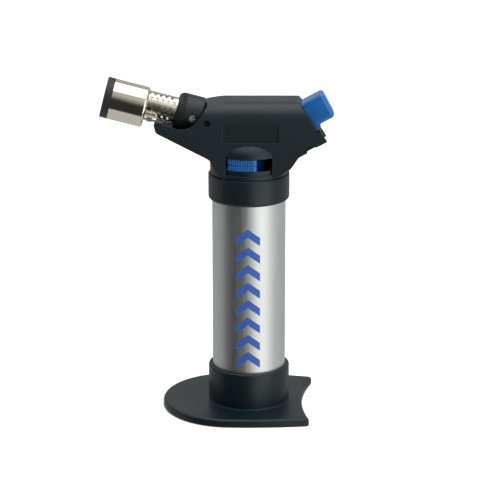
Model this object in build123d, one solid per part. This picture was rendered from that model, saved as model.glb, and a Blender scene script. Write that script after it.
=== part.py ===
from build123d import *
from math import cos, radians, sin
import os

# Bench butane torch. Millimetres. +Z is up, the origin is on the tank's axis at the foot's
# underside, and the nozzle points towards -X. The operator's left side of the head is -Y.

# ---- tank and foot
TANK_RADIUS = 20.0
TANK_LENGTH = 121.0
SLEEVE_WALL = 0.8
VESSEL_WALL = 1.9
PLATE_THICKNESS = 4.5
PLATE_HALF_WIDTH = 37.8
PLATE_CENTRE_X = -9.8
PLATE_TIP_X = 34.8
PLATE_TIP_HALF_WIDTH = 33.6
PLATE_NOTCH_DEPTH = 5.3
PLATE_TURN_DEG = -2.8
FOOT_FLOOR = 3.0
SOCKET_WALL = 2.0
SOCKET_HEIGHT = 20.4
SOCKET_CLEARANCE = 0.25
CAP_THICKNESS = 7.0
CAP_PLUG = 5.0
CAP_RISE = 2.0

# ---- refill valve
REFILL_BODY_RADIUS = 4.0
REFILL_PORT_RADIUS = 2.1
REFILL_PORT_DEPTH = 6.0
REFILL_BODY_LENGTH = 17.0
REFILL_STEM_RADIUS = 1.2
REFILL_STROKE = 1.5

# ---- collar and neck
COLLAR_WALL = 2.0
COLLAR_HEIGHT = 14.3
COLLAR_OVERLAP = 4.7
RETAINER_THICKNESS = 2.0
NECK_STEP = 1.0
NECK_HEIGHT = 11.4
DOME_HEIGHT = 11.8
FLARE_SLOPE = 1.1
FLARE_START = 1.3
FLARE_HEIGHT = 14.0

# ---- housing
HEAD_HALF_WIDTH = 17.0
HEAD_TOP = 40.4
TOP_ROUND = 10.0
HEAD_WALL = 2.0
CHEST_X = 22.6
RIM_WALL = 1.5
STEP_DROP = 0.9
PLATE_RECESS = 0.5
END_WALL = 1.2
NAMEPLATE_X = (-13.9, 15.6)
NAMEPLATE_H = (19.8, 29.7)
WINDOW_H = (2.4, 4.9, 11.7)

# ---- screws and pivots, each at (x, height above the neck's foot)
SCREW_PLACES = [(-24.4, 14.6), (3.0, 32.6), (26.3, 16.6)]
SCREW_RADIUS = 1.1
SCREW_HEAD_RADIUS = 2.1
BOSS_RADIUS = 2.7
BURNER_SCREW = (-22.3, 30.65)
BURNER_BOSS_RADIUS = 2.4
BURNER_SCREW_HEAD_RADIUS = 1.6
LEVER_PIVOT = (8.5, 13.4)
LEVER_HUB_HALF_WIDTH = 4.9
PIN_RADIUS = 1.0

# ---- gas valve and regulator
NECK_BOSS_RADIUS = 9.0
VALVE_RADIUS = 4.95
VALVE_FLANGE_RADIUS = 7.0
VALVE_NOSE_RADIUS = 4.0
STEM_RADIUS = 1.5
STEM_FLANGE_RADIUS = 3.5
REGULATOR_RADIUS = 6.4
FLAME_HUB_RADIUS = 9.5
TAB_START_DEG = -33.2
TAB_END_DEG = 11.4
TAB_THICKNESS = 2.0
RUNNING_CLEARANCE = 0.05
PART_CLEARANCE = 0.1

# ---- nozzle, on an axis tilted up towards -X
NOZZLE_TILT = 14.6
NOZZLE_X = -24.9
NOZZLE_H = 30.35
RING_RADIUS = 10.5
RING_LENGTH = 14.6
RING_GAP = 0.4
RING_WALL = 1.85
RING_OVERHANG = 0.7
RING_RIBS = 44
KNURL_LENGTH = 4.8
KNURL_WIDTH = 0.75
KNURL_DEPTH = 0.6
AIR_HOLE_RADIUS = 1.1
AIR_HOLE_ANGLES = (30, 90, 150)
AIR_HOLE_ALONG = 5.5
RING_TURN_DEG = 40.0
TROUGH_CLEARANCE = 0.5
BURNER_RADIUS = 7.0
BURNER_WALL = 0.5
MIXER_RADIUS = 4.0
MIXER_WALL = 0.5
SPIGOT_RADIUS = 4.7
BURNER_FLANGE = 5.6
BASE_COLLAR_END = 13.0
BURNER_END = 36.0
JET_BACK = -13.5
HOSE_RADIUS = 2.2
HOSE_BEND = 4.0
HOLE_PITCH = 3.07
HOLE_ROWS = 14
HOLE_COLUMNS = 5
HOLE_RADIUS = 1.15
COWL_START = 30.3
COWL_DROP = 2.5
COWL_RADIUS = 11.05
COWL_LENGTH = 23.4
COWL_WALL = 0.6
COWL_ROUND = 1.5
FRONT_RING_LENGTH = 4.2
ELECTRODE_RADIUS = 0.7
ELECTRODE_CLIP_DROP = 8.7

# ---- trigger, sliding along an axis tilted up towards +X
TRIGGER_TILT = 28.6
TRIGGER_X = 31.96
TRIGGER_H = 32.5
BUTTON_HALF_HEIGHT = 7.2
BUTTON_HALF_WIDTH = 7.0
BUTTON_REACH = 12.3
BUTTON_WALL = 1.5
SKIRT_DROP = 2.4
TRIGGER_STROKE = 6.0
GUARD_HALF_WIDTH = 8.5
GUARD_WALL = 3.6
LOCK_PIVOT = (-0.1, -14.9)
PIEZO_BACK = -26.0
SPRING_SIDE = 8.0
SPRING_UP = 1.0
SPRING_SEAT = -22.0

# ---- levels and radii worked out from the sizes above
SLEEVE_TOP = FOOT_FLOOR + TANK_LENGTH
COLLAR_BOTTOM = SLEEVE_TOP - COLLAR_OVERLAP
HEAD_Z = COLLAR_BOTTOM + COLLAR_HEIGHT
COLLAR_RADIUS = TANK_RADIUS + COLLAR_WALL
COLLAR_BORE = TANK_RADIUS + PART_CLEARANCE
NECK_RADIUS = TANK_RADIUS + NECK_STEP
VESSEL_RADIUS = TANK_RADIUS - SLEEVE_WALL - PART_CLEARANCE
CAP_BOTTOM = FOOT_FLOOR + CAP_RISE
CAP_TOP = CAP_BOTTOM + CAP_THICKNESS
VESSEL_TOP = SLEEVE_TOP - 10.0
STEM_BORE = STEM_RADIUS + RUNNING_CLEARANCE
COLLAR_SEAT = RING_RADIUS - RING_WALL
CUT = 200.0

BASE = (Align.CENTER, Align.CENTER, Align.MIN)
RISE = sin(radians(NOZZLE_TILT))
RUN = cos(radians(NOZZLE_TILT))
NOZZLE = Plane(origin=(NOZZLE_X, 0, HEAD_Z + NOZZLE_H), x_dir=(RISE, 0, RUN), z_dir=(-RUN, 0, RISE))
COWL_AXIS = NOZZLE * Pos(-COWL_DROP, 0, COWL_START)
TRIGGER_SIN = sin(radians(TRIGGER_TILT))
TRIGGER_COS = cos(radians(TRIGGER_TILT))
# Local x runs out along the trigger's travel and local y square to it, upwards.
TRIGGER = Plane(
    origin=(TRIGGER_X, 0, HEAD_Z + TRIGGER_H),
    x_dir=(TRIGGER_COS, 0, TRIGGER_SIN),
    z_dir=(0, -1, 0),
)


def rod(radius, low, high):
    """A cylinder on the local z axis from low to high."""
    return Pos(0, 0, low) * Cylinder(radius, high - low, align=BASE)


def tube(outer, inner, low, high):
    return rod(outer, low, high) - rod(inner, low - 1, high + 1)


def box(low, high):
    """A box between two corners."""
    size = [b - a for a, b in zip(low, high)]
    centre = [(a + b) / 2 for a, b in zip(low, high)]
    return Pos(*centre) * Box(*size)


def cross_pin(x, z, radius, low_y, high_y):
    """A cylinder parallel to Y."""
    middle = (low_y + high_y) / 2
    return Pos(x, middle, z) * Rot(90, 0, 0) * Cylinder(radius, high_y - low_y)


def side_prism(points, half_width, radius=0.0):
    """A closed outline of (x, z) points, with rounded corners, across both sides of the mid plane."""
    corners = [(x, 0, z) for x, z in points]
    face = make_face(FilletPolyline(*corners, radius=radius, close=True))
    return extrude(face, amount=half_width, dir=(0, 1, 0), both=True)


def trigger_prism(points, half_width, radius=0.0):
    """A closed outline of (along, square) points in the trigger's plane, across both sides."""
    face = make_face(FilletPolyline(*points, radius=radius, close=True))
    return TRIGGER * extrude(face, amount=half_width, both=True)


def trigger_point(along, square):
    """World x and z of a point in the trigger's plane."""
    x = TRIGGER_X + along * TRIGGER_COS - square * TRIGGER_SIN
    z = HEAD_Z + TRIGGER_H + along * TRIGGER_SIN + square * TRIGGER_COS
    return x, z


def nozzle_point(along, up=0.0):
    """World x, y and z of a point in the nozzle's mid plane."""
    x = NOZZLE_X - along * RUN + up * RISE
    z = HEAD_Z + NOZZLE_H + along * RISE + up * RUN
    return x, 0, z


def coil(radius, wire, low, high, turns):
    """A round-wire compression spring on the local z axis, between two levels."""
    height = high - low - 2 * wire
    path = Helix(pitch=height / turns, height=height, radius=radius, center=(0, 0, low + wire))
    section = Plane(origin=path @ 0, z_dir=path % 0) * Circle(wire)
    return sweep(section, path=path, is_frenet=True)


def seal(radius, cord, level):
    """An O-ring on the local z axis."""
    return Pos(0, 0, level) * Torus(radius, cord)


# ---------------------------------------------------------------- foot and tank


def make_foot():
    half = PLATE_HALF_WIDTH
    tip = PLATE_TIP_HALF_WIDTH
    notch_x = PLATE_TIP_X - PLATE_NOTCH_DEPTH
    nose = ThreePointArc((PLATE_CENTRE_X, -half), (PLATE_CENTRE_X - half, 0), (PLATE_CENTRE_X, half))
    side = TangentArc((PLATE_CENTRE_X, half), (PLATE_TIP_X, tip), tangent=(1, 0))
    notch = ThreePointArc((PLATE_TIP_X, tip), (notch_x, 0), (PLATE_TIP_X, -tip))
    other = TangentArc((PLATE_CENTRE_X, -half), (PLATE_TIP_X, -tip), tangent=(1, 0))
    outline = make_face(nose + side + notch + other)
    plate = extrude(outline, PLATE_THICKNESS)
    corners = plate.edges().filter_by(Axis.Z).group_by(Axis.X)[-1]
    plate = fillet(corners, 2.0)
    plate = fillet(plate.faces().sort_by(Axis.Z)[-1].outer_wire().edges(), 1.6)
    plate = fillet(plate.faces().sort_by(Axis.Z)[0].outer_wire().edges(), 0.8)
    inner = TANK_RADIUS + SOCKET_CLEARANCE
    outer = inner + SOCKET_WALL
    rim = PLATE_THICKNESS + SOCKET_HEIGHT
    socket = rod(outer, PLATE_THICKNESS - 1, rim)
    socket = fillet(socket.faces().sort_by(Axis.Z)[-1].edges(), SOCKET_WALL * 0.55)
    crease = rod(outer + 0.9, PLATE_THICKNESS - 1, PLATE_THICKNESS + 0.35)
    plate = Rot(0, 0, PLATE_TURN_DEG) * plate
    return plate + socket + crease - rod(inner, FOOT_FLOOR, rim + 1)


def make_tank_sleeve():
    return tube(TANK_RADIUS, TANK_RADIUS - SLEEVE_WALL, FOOT_FLOOR, SLEEVE_TOP)


def make_fuel_tank():
    inner = VESSEL_RADIUS - VESSEL_WALL
    vessel = rod(VESSEL_RADIUS, CAP_TOP, VESSEL_TOP)
    vessel = fillet(vessel.faces().sort_by(Axis.Z)[-1].edges(), 3.0)
    space = rod(inner, CAP_TOP - 1, VESSEL_TOP - VESSEL_WALL)
    neck = rod(NECK_BOSS_RADIUS, VESSEL_TOP - VESSEL_WALL, SLEEVE_TOP)
    bore = rod(VALVE_RADIUS + RUNNING_CLEARANCE, VESSEL_TOP - 4, SLEEVE_TOP + 1)
    return vessel - space + neck - bore


def make_tank_bottom_cap():
    plug = VESSEL_RADIUS - VESSEL_WALL - PART_CLEARANCE
    cap = rod(VESSEL_RADIUS, CAP_BOTTOM, CAP_TOP) + rod(plug, CAP_TOP, CAP_TOP + CAP_PLUG)
    groove = tube(plug + 1, plug - 0.9, CAP_TOP + 1.6, CAP_TOP + 3.2)
    hollow = tube(plug - 3.0, REFILL_BODY_RADIUS + 3.0, CAP_TOP - 2, CAP_TOP + CAP_PLUG + 1)
    dish = Pos(0, 0, CAP_BOTTOM) * Cone(REFILL_BODY_RADIUS + 4.0, REFILL_BODY_RADIUS + 2.0, 1.2, align=BASE)
    bore = rod(REFILL_BODY_RADIUS + RUNNING_CLEARANCE, CAP_BOTTOM - 1, CAP_TOP + CAP_PLUG + 1)
    return cap - groove - hollow - dish - bore


def make_tank_seal():
    plug = VESSEL_RADIUS - VESSEL_WALL - PART_CLEARANCE
    return seal(plug - 0.4, 0.45, CAP_TOP + 2.4)


def refill_levels():
    shoulder = CAP_BOTTOM + REFILL_PORT_DEPTH
    chamber = shoulder + 2.0
    top = CAP_BOTTOM + REFILL_BODY_LENGTH
    return shoulder, chamber, top - 2.5, top


def make_refill_valve_body():
    shoulder, chamber, roof, top = refill_levels()
    body = rod(REFILL_BODY_RADIUS, CAP_BOTTOM, top)
    body -= rod(REFILL_PORT_RADIUS, CAP_BOTTOM - 1, shoulder)
    body -= rod(REFILL_STEM_RADIUS + RUNNING_CLEARANCE, shoulder - 1, chamber)
    body -= rod(2.6, chamber, roof)
    return body - rod(0.9, roof - 1, top + 1)


def make_refill_stem():
    shoulder, chamber, roof, _ = refill_levels()
    tip = rod(REFILL_STEM_RADIUS, shoulder, chamber + 1.0)
    flange = rod(2.3, chamber + 0.8, chamber + 1.6)
    guide = rod(0.8, chamber + 1.6, roof - REFILL_STROKE - 0.3)
    return tip + flange + guide


def make_refill_spring():
    _, chamber, roof, _ = refill_levels()
    return coil(1.6, 0.25, chamber + 1.6, roof, 4)


def make_refill_seal():
    _, chamber, _, _ = refill_levels()
    ring = tube(2.3, REFILL_STEM_RADIUS + 0.1, chamber, chamber + 0.75)
    return ring


def make_wick():
    return rod(1.9, CAP_TOP + CAP_PLUG + 8, VESSEL_TOP - 3.2)


# ---------------------------------------------------------------- collar, valve and flame lever


def make_tank_retainer():
    top = SLEEVE_TOP + RETAINER_THICKNESS
    return tube(TANK_RADIUS, VALVE_FLANGE_RADIUS + 0.3, SLEEVE_TOP, top)


def make_upper_collar():
    collar = rod(COLLAR_RADIUS, COLLAR_BOTTOM, HEAD_Z)
    collar = fillet(collar.faces().sort_by(Axis.Z)[0].edges(), COLLAR_WALL * 0.85)
    collar = fillet(collar.faces().sort_by(Axis.Z)[-1].edges(), 0.4)
    return collar - rod(COLLAR_BORE, COLLAR_BOTTOM - 1, HEAD_Z + 1)


def valve_levels():
    """Bottom, seat, chamber roof, flange top and nose top of the gas valve."""
    bottom = VESSEL_TOP - 3.0
    return bottom, bottom + 2.0, SLEEVE_TOP - 1.0, SLEEVE_TOP + 2.0, SLEEVE_TOP + 13.0


def make_gas_valve_body():
    bottom, seat, roof, flange, top = valve_levels()
    body = rod(VALVE_RADIUS, bottom, SLEEVE_TOP)
    body += rod(VALVE_FLANGE_RADIUS, SLEEVE_TOP, flange)
    body += rod(VALVE_NOSE_RADIUS, flange, top)
    body -= rod(2.9, seat, roof)
    body -= rod(STEM_BORE, roof - 1, top + 1)
    body -= rod(STEM_RADIUS + 0.9, flange + 4.0, flange + 5.6)
    return body - rod(0.8, bottom - 1, seat + 1)


def stem_levels():
    """Flange underside and stem top, both measured with the valve shut."""
    return HEAD_Z + 15.6, HEAD_Z + 19.4


def make_valve_stem():
    _, seat, _, _, _ = valve_levels()
    flange, top = stem_levels()
    stem = rod(STEM_RADIUS, seat + 1.5, top) + rod(2.6, seat + 1.5, seat + 3.0)
    stem += rod(STEM_FLANGE_RADIUS, flange, flange + 1.0)
    stem -= rod(0.6, seat + 5.0, top + 1)
    return stem - cross_pin(0, seat + 6.4, 0.45, -3, 3)


def make_valve_seat_seal():
    _, seat, _, _, _ = valve_levels()
    return rod(2.2, seat, seat + 1.5)


def make_valve_spring():
    _, seat, roof, _, _ = valve_levels()
    return coil(2.15, 0.25, seat + 3.0, roof, 4)


def make_valve_oring():
    _, _, _, flange, _ = valve_levels()
    return seal(STEM_RADIUS + 0.47, 0.4, flange + 4.8)


def make_regulator_sleeve():
    _, _, _, flange, top = valve_levels()
    sleeve = tube(REGULATOR_RADIUS, VALVE_NOSE_RADIUS + RUNNING_CLEARANCE, flange + 0.2, top + 2)
    for turn in range(12):
        sleeve -= Rot(0, 0, turn * 30) * box((REGULATOR_RADIUS - 0.4, -0.4, top - 5), (CUT, 0.4, CUT))
    return sleeve


def window_levels():
    """Bottom of the sill, of the opening and its top."""
    return [HEAD_Z + height for height in WINDOW_H]


def front_sector(radius, low, high, start_deg, end_deg):
    """A sector about the tank's axis, with its angles counted from -Y towards +X."""
    corners = [(0, 0)]
    steps = 6
    for step in range(steps + 1):
        angle = radians(start_deg + (end_deg - start_deg) * step / steps)
        corners.append((3 * radius * sin(angle), -3 * radius * cos(angle)))
    wedge = extrude(make_face(Polyline(*corners, close=True)), high - low)
    return rod(radius, low, high) & (Pos(0, 0, low) * wedge)


def make_flame_lever():
    _, opening, roof = window_levels()
    outer = NECK_RADIUS - 0.4
    inner = outer - TAB_THICKNESS
    hub = tube(FLAME_HUB_RADIUS, REGULATOR_RADIUS + RUNNING_CLEARANCE, HEAD_Z - 0.6, opening + 4.5)
    arm = front_sector(inner + 0.5, opening + 1.4, opening + 4.4, TAB_START_DEG, TAB_END_DEG)
    arm -= rod(FLAME_HUB_RADIUS - 1, HEAD_Z - 1, HEAD_Z + CUT)
    tab = front_sector(outer, opening + 0.3, roof - 0.3, TAB_START_DEG, TAB_END_DEG)
    tab -= rod(inner, HEAD_Z, HEAD_Z + CUT)
    middle = (opening + roof) / 2
    groove = tube(outer + 1, outer - 0.7, middle - 0.35, middle + 0.35)
    tab -= groove
    ribs = 11
    for rib in range(ribs):
        angle = TAB_START_DEG + 2.4 + rib * 3.6
        notch = box((-0.32, -outer - 1, opening), (0.32, -outer + 0.6, roof))
        tab -= Rot(0, 0, angle) * notch
    return hub + arm + tab


# ---------------------------------------------------------------- housing


def head_outline():
    """Side view of the head: top, button end, neck, underside, nozzle jaw and its scalloped rim."""
    points = [
        (-CHEST_X, 37.8),
        (-12.0, HEAD_TOP),
        (26.4, HEAD_TOP),
        (36.4, 26.7),
        (18.5, 0.0),
        (-14.9, 0.0),
        (-21.2, 10.7),
        (-49.4, 25.3),
        (-51.0, 32.1),
        (-32.8, 25.2),
    ]
    corner_radii = [1.2, 8.0, 2.2, 1.5, 0.0, 0.0, 6.0, 3.0, 1.6, 10.0]
    return [(x, HEAD_Z + h) for x, h in points], corner_radii


def rim_void(drop):
    """The space above the jaw's rim, lowered by drop, as an outline."""
    points = [(-70.0, 39.4), (-32.8, 25.2), (-CHEST_X, 37.8), (-CHEST_X, 60.0), (-70.0, 60.0)]
    return [(x, HEAD_Z + h - drop) for x, h in points], [0, 10.0, 0, 0, 0]


def rounded_bar(half_width, top, round_radius):
    """A long bar along X with its two top edges rounded."""
    section = [(-half_width, -CUT), (half_width, -CUT), (half_width, top), (-half_width, top)]
    outline = FilletPolyline(*section, radius=[0, 0, round_radius, round_radius], close=True)
    return Plane.YZ * extrude(make_face(outline), CUT, both=True)


def flared_space(start_radius):
    """A cone that opens upwards from the neck's foot, and everything above it."""
    top_radius = start_radius + FLARE_SLOPE * FLARE_HEIGHT
    cone = Cone(start_radius, top_radius, FLARE_HEIGHT, align=BASE)
    return Pos(0, 0, HEAD_Z) * (cone + rod(CUT, FLARE_HEIGHT, CUT))


def neck_and_dome(radius, foot_level, dome_height):
    level = HEAD_Z + NECK_HEIGHT
    arc = EllipticalCenterArc((0, level), radius, dome_height, start_angle=0, arc_size=90)
    walls = Polyline((0, level + dome_height), (0, foot_level), (radius, foot_level), (radius, level))
    profile = make_face(arc + walls)
    return revolve(Plane.XZ * profile, Axis.Z)


def guard_outline():
    """The narrow guard under the button, in the trigger's plane."""
    top = -BUTTON_HALF_HEIGHT - SKIRT_DROP - 0.35
    return [
        (1.5, top),
        (1.9, -17.0),
        (-4.4, -17.0),
        (-4.6, -16.4),
        (-9.7, -16.4),
        (-10.2, -17.4),
        (-16.0, -17.4),
        (-16.0, -14.0),
        (-3.0, -7.5),
        (-1.4, -7.5),
        (-1.4, top),
    ]


def make_head_shape():
    """The head's outer shape, solid, down to the neck."""
    outline, corner_radii = head_outline()
    head = side_prism(outline, HEAD_HALF_WIDTH, corner_radii)
    head &= rounded_bar(HEAD_HALF_WIDTH, HEAD_Z + HEAD_TOP, TOP_ROUND)
    head &= flared_space(NECK_RADIUS - 1 + FLARE_START)
    return head + neck_and_dome(NECK_RADIUS, HEAD_Z, DOME_HEIGHT)


def make_housing():
    """Both halves in one piece, before the split down the middle."""
    shell = make_head_shape()
    shell += trigger_prism(guard_outline(), GUARD_HALF_WIDTH)
    spigot = TANK_RADIUS + PART_CLEARANCE - RUNNING_CLEARANCE
    shell += rod(spigot, SLEEVE_TOP + RETAINER_THICKNESS, HEAD_Z + 1)

    cavity = make_cavity()
    shell -= cavity
    shell -= rod(NECK_RADIUS - HEAD_WALL, SLEEVE_TOP, HEAD_Z + 1)
    shell -= make_trough()
    shell -= make_button_opening()
    for side in (-1, 1):
        y = side * HEAD_HALF_WIDTH
        shell -= box(
            (NAMEPLATE_X[0], y - PLATE_RECESS, HEAD_Z + NAMEPLATE_H[0]),
            (NAMEPLATE_X[1], y + PLATE_RECESS, HEAD_Z + NAMEPLATE_H[1]),
        )
    return shell


def make_cavity():
    outline, corner_radii = head_outline()
    corners = [(x, 0, z) for x, z in outline]
    face = make_face(FilletPolyline(*corners, radius=corner_radii, close=True))
    inner = offset(face, amount=-HEAD_WALL)
    space = extrude(inner, amount=HEAD_HALF_WIDTH - HEAD_WALL, dir=(0, 1, 0), both=True)
    space &= rounded_bar(HEAD_HALF_WIDTH - HEAD_WALL, HEAD_Z + HEAD_TOP - HEAD_WALL, TOP_ROUND - HEAD_WALL)
    space &= flared_space(NECK_RADIUS - 1 + FLARE_START - 1.5 * HEAD_WALL)
    space &= NOZZLE * box((-CUT, -CUT, -CUT), (CUT, CUT, -END_WALL))
    return space + neck_and_dome(NECK_RADIUS - HEAD_WALL, HEAD_Z - 1, DOME_HEIGHT - HEAD_WALL)


def make_trough():
    """Room for the air ring and burner, the jaw's stepped ledges, and the holes in the end wall."""
    ring_space = RING_RADIUS + TROUGH_CLEARANCE
    ring_end = RING_GAP + RING_LENGTH + TROUGH_CLEARANCE
    trough = NOZZLE * rod(ring_space, 0, ring_end)
    trough += NOZZLE * rod(ring_space - 1.2, ring_end - 1, ring_end + 20)
    trough += NOZZLE * rod(SPIGOT_RADIUS + PART_CLEARANCE, -END_WALL - 1, 1)
    trough += NOZZLE * rod(BURNER_FLANGE + PART_CLEARANCE, -6, -END_WALL)
    lead_hole = Pos(-electrode_drop(), 0, 0) * rod(1.55, -END_WALL - 3, 1)
    trough += NOZZLE * lead_hole
    in_front = NOZZLE * box((-CUT, -CUT, 0.6), (CUT, CUT, CUT))
    for step in range(1, 4):
        points, radii = rim_void(step * STEP_DROP)
        width = HEAD_HALF_WIDTH - RIM_WALL - (step - 1) * 1.4
        trough += side_prism(points, width, radii) & in_front
    return trough


def make_button_opening():
    half = BUTTON_HALF_WIDTH + 0.35
    low = -BUTTON_HALF_HEIGHT - SKIRT_DROP - 0.3
    high = BUTTON_HALF_HEIGHT + 0.35
    opening = TRIGGER * box((-3.6, low, -half), (3.6, high, half))
    # Behind the guard's top edge, the skirt needs room for its whole stroke.
    pocket = TRIGGER * box((-TRIGGER_STROKE - 2.2, low, -half), (1.0, low + 5, half))
    slot_half = GUARD_HALF_WIDTH - GUARD_WALL
    slot = TRIGGER * box((-9.2, -CUT, -slot_half), (CUT, -11.4, slot_half))
    return opening + pocket + slot


def make_lever_window():
    """The slot that the tab sticks out of, as wide as the round neck stands out of the flat cheek."""
    sill, opening, roof = window_levels()
    half = (NECK_RADIUS**2 - HEAD_HALF_WIDTH**2) ** 0.5 - RUNNING_CLEARANCE
    front = -HEAD_HALF_WIDTH - CUT
    back = -NECK_RADIUS * 0.6
    hole = box((-half, front, opening), (half, back, roof))
    ledge = box((-half, front, sill), (half, 0, opening + 0.1))
    return hole + (ledge - rod(NECK_RADIUS - 0.9, HEAD_Z, HEAD_Z + CUT))


def half_space(side):
    far = side * CUT
    return box((-CUT, min(0, far), -CUT), (CUT, max(0, far), 2 * CUT))


def boss(x, h, low_y, high_y, radius=BOSS_RADIUS):
    return cross_pin(x, HEAD_Z + h, radius, low_y, high_y)


def make_housing_half(side):
    half = make_housing() & half_space(side)
    outer_y = side * (HEAD_HALF_WIDTH - HEAD_WALL * 0.5)
    hub_y = side * (LEVER_HUB_HALF_WIDTH + 0.5)
    posts = [boss(x, h, min(0, outer_y), max(0, outer_y)) for x, h in SCREW_PLACES]
    posts.append(boss(*LEVER_PIVOT, min(hub_y, outer_y), max(hub_y, outer_y)))
    half += (Part() + posts) & make_head_shape()
    pin_end = HEAD_HALF_WIDTH - HEAD_WALL - 1.0
    half -= boss(*LEVER_PIVOT, -pin_end, pin_end, PIN_RADIUS + 0.02)
    lock_x, lock_z = trigger_point(*LOCK_PIVOT)
    half -= cross_pin(lock_x, lock_z, PIN_RADIUS - 0.08, -GUARD_HALF_WIDTH + 0.8, GUARD_HALF_WIDTH - 0.8)
    if side < 0:
        half = finish_left_half(half)
    else:
        half = finish_right_half(half)
    return half


def finish_left_half(half):
    """The threaded screw bosses, the tab's slot, and the side screw that holds the burner."""
    half -= make_lever_window()
    for x, h in SCREW_PLACES:
        half -= boss(x, h, -10.0, 1, SCREW_RADIUS + 0.02)
    x, h = BURNER_SCREW
    behind_end_wall = NOZZLE * box((-CUT, -CUT, -CUT), (CUT, CUT, -0.1))
    post = boss(x, h, -HEAD_HALF_WIDTH + 1, -BURNER_FLANGE - 0.2, BURNER_BOSS_RADIUS)
    half += post & behind_end_wall
    half -= boss(x, h, -CUT, -HEAD_HALF_WIDTH + 2.4, BURNER_SCREW_HEAD_RADIUS + 0.15)
    return half - boss(x, h, -CUT, 0, SCREW_RADIUS + 0.1)


def finish_right_half(half):
    """The clearance bosses for the screws, the piezo's back stop and the spring's seat."""
    stop = TRIGGER * box((PIEZO_BACK - 2, 0, -HEAD_HALF_WIDTH + 1), (PIEZO_BACK, 8, 3.5))
    seat = TRIGGER * box(
        (SPRING_SEAT - 2, SPRING_UP - 3, -HEAD_HALF_WIDTH + 1),
        (SPRING_SEAT, SPRING_UP + 3, -SPRING_SIDE + 3.4),
    )
    half += stop + seat
    for x, h in SCREW_PLACES:
        half -= boss(x, h, -1, CUT, SCREW_RADIUS + 0.15)
        half -= boss(x, h, HEAD_HALF_WIDTH - 2.4, CUT, SCREW_HEAD_RADIUS + 0.2)
    return half


def make_housing_screws():
    """Three identical screws from the far side."""
    seat_y = HEAD_HALF_WIDTH - 2.4
    screws = []
    for x, h in SCREW_PLACES:
        screw = boss(x, h, -9.5, seat_y, SCREW_RADIUS)
        screw += boss(x, h, seat_y, seat_y + 1.4, SCREW_HEAD_RADIUS)
        cross = box((-1.3, seat_y + 0.7, -0.25), (1.3, seat_y + 2, 0.25))
        cross += box((-0.25, seat_y + 0.7, -1.3), (0.25, seat_y + 2, 1.3))
        screws.append(screw - Pos(x, 0, HEAD_Z + h) * cross)
    return Compound(children=screws)


def make_burner_screw():
    x, h = BURNER_SCREW
    seat_y = -HEAD_HALF_WIDTH + 2.4
    screw = boss(x, h, seat_y, -MIXER_RADIUS - 0.6, SCREW_RADIUS)
    screw += boss(x, h, seat_y - 1.1, seat_y, BURNER_SCREW_HEAD_RADIUS)
    cross = box((-1.0, seat_y - 2, -0.22), (1.0, seat_y - 0.6, 0.22))
    cross += box((-0.22, seat_y - 2, -1.0), (0.22, seat_y - 0.6, 1.0))
    return screw - Pos(x, 0, HEAD_Z + h) * cross


# ---------------------------------------------------------------- trigger, igniter and levers


def make_trigger_button():
    high = BUTTON_HALF_HEIGHT
    back = -5.5
    body = TRIGGER * box((back, -high, -BUTTON_HALF_WIDTH), (BUTTON_REACH, high, BUTTON_HALF_WIDTH))
    front = body.faces().sort_by(Axis(TRIGGER.origin, TRIGGER.x_dir))[-1]
    long_edges = body.edges().filter_by(Axis(TRIGGER.origin, TRIGGER.x_dir))
    body = fillet(long_edges + front.edges(), 2.0)
    skirt_points = [
        (-1.0, -high + 2.5),
        (-1.0, -high - SKIRT_DROP),
        (1.5, -high - SKIRT_DROP),
        (3.6, -high + 0.2),
        (3.6, -high + 2.5),
    ]
    body += trigger_prism(skirt_points, BUTTON_HALF_WIDTH - 0.4, [0, 0, 0.7, 2.2, 0])
    inner_high = high - BUTTON_WALL
    inner_wide = BUTTON_HALF_WIDTH - BUTTON_WALL
    hollow = box((back - 1, -inner_high, -inner_wide), (BUTTON_REACH - 2, inner_high, inner_wide))
    return body - TRIGGER * hollow


def make_trigger_carriage():
    block_high = BUTTON_HALF_HEIGHT - BUTTON_WALL - 0.5
    block_wide = BUTTON_HALF_WIDTH - BUTTON_WALL - 0.4
    block = box((-6, -block_high, -block_wide), (BUTTON_REACH - 2, block_high, block_wide))
    block -= box((-4, -block_high + 2, -block_wide + 2), (BUTTON_REACH, block_high - 2, block_wide - 2))
    flange = box((-7.5, -6.5, -6.5), (-5.6, 6.5, 6.5))
    lug = box((-7.5, SPRING_UP - 3, -SPRING_SIDE - 3), (-5.6, SPRING_UP + 3, SPRING_SIDE + 3))
    arm = box((-18.6, -5.0, -3.0), (-5.6, -1.2, 3.0))
    nose = box((-17.9, -6.4, -3.0), (-15.3, -4.0, 3.0))
    nose += Pos(-16.6, -6.4, 0) * Cylinder(1.3, 6.0)
    return TRIGGER * (block + flange + lug + arm + nose)


def make_trigger_spring():
    """Pushes the carriage out, from the seat on the right half to the carriage's lug."""
    spring = coil(2.4, 0.35, SPRING_SEAT, -7.5, 6)
    return TRIGGER * Pos(0, SPRING_UP, -SPRING_SIDE) * Rot(0, 90, 0) * spring


def make_piezo_body():
    body = box((PIEZO_BACK, 0.0, -3.5), (-14.0, 8.0, 3.5))
    return TRIGGER * (body - box((-21.5, 1.0, -2.5), (CUT, 7.0, 2.5)))


def make_piezo_plunger():
    return TRIGGER * box((-15.3, 1.15, -2.35), (-7.5, 6.85, 2.35))


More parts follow.
